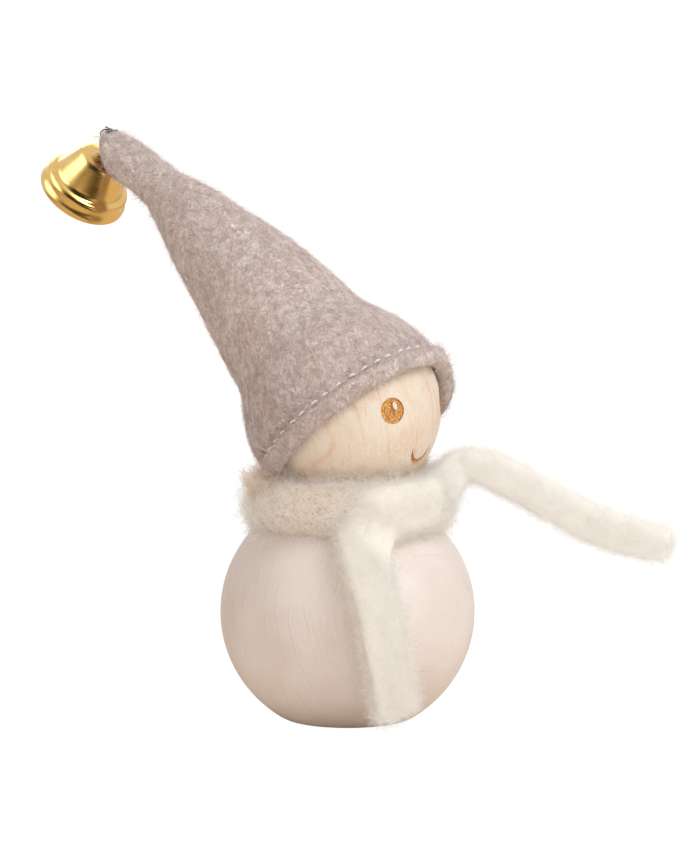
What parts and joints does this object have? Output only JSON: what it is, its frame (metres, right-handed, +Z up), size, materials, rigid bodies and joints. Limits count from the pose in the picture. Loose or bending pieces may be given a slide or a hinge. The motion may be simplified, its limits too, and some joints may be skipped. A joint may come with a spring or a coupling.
{
  "type": "wooden elf figure",
  "caption": "Standing table figure of turned wooden balls with a burnt-in face, a leaning felt cone hat that carries a swinging brass bell, and a wool scarf with bending tails.",
  "frame": {"origin": "middle of the flat base", "axes": "+Z up, the face looks to -Y, the hat leans back to +Y"},
  "size_m": [0.0606, 0.1274, 0.1151],
  "materials": {
    "washed_wood": "pale pinkish white-wash over fine grain",
    "pale_wood": "bare pale hardwood, burnt-in eyes and smile",
    "dowel_wood": "bare",
    "felt": "grey-mauve wool felt",
    "white_thread": "sewing thread",
    "dark_thread": "sewing thread",
    "brass": "polished",
    "wool": "loose cream carded wool",
    "wire": "soft annealed wire"
  },
  "bodies": {
    "figure": {"body_ball": "washed_wood", "head_ball": "pale_wood", "neck_dowel": "dowel_wood", "hat_felt": "felt", "hem_thread": "white_thread", "bell_thread": "dark_thread", "scarf_wrap": "wool"},
    "bell": {"bell_shell": "brass", "bell_hanger": "brass"},
    "clapper": {"bell_clapper": "brass"},
    "front_tail": {"scarf_front_tail": "wool"},
    "flying_tail": {"scarf_flying_tail": "wool", "scarf_wire": "wire"}
  },
  "joints": [
    {"name": "bell_swing", "type": "hinge", "parent": "figure", "child": "bell", "pos_m": [0, 0.0567, 0.11064], "axis": [0.9593, -0.2823, 0], "range_deg": [0, 55]},
    {"name": "clapper_swing", "type": "hinge", "parent": "bell", "child": "clapper", "pos_m": [0.001, 0.06009, 0.10676], "axis": [0.9593, -0.2823, 0], "range_deg": [-20, 104]},
    {"name": "front_tail_lift", "type": "hinge", "parent": "figure", "child": "front_tail", "pos_m": [-0.01561, -0.01507, 0.03895], "axis": [-0.6947, 0.7193, 0], "range_deg": [0, 50]},
    {"name": "flying_tail_bend", "type": "hinge", "parent": "figure", "child": "flying_tail", "pos_m": [0.01065, -0.01705, 0.04895], "axis": [-0.848, -0.5299, 0], "range_deg": [-25, 50]}
  ]
}
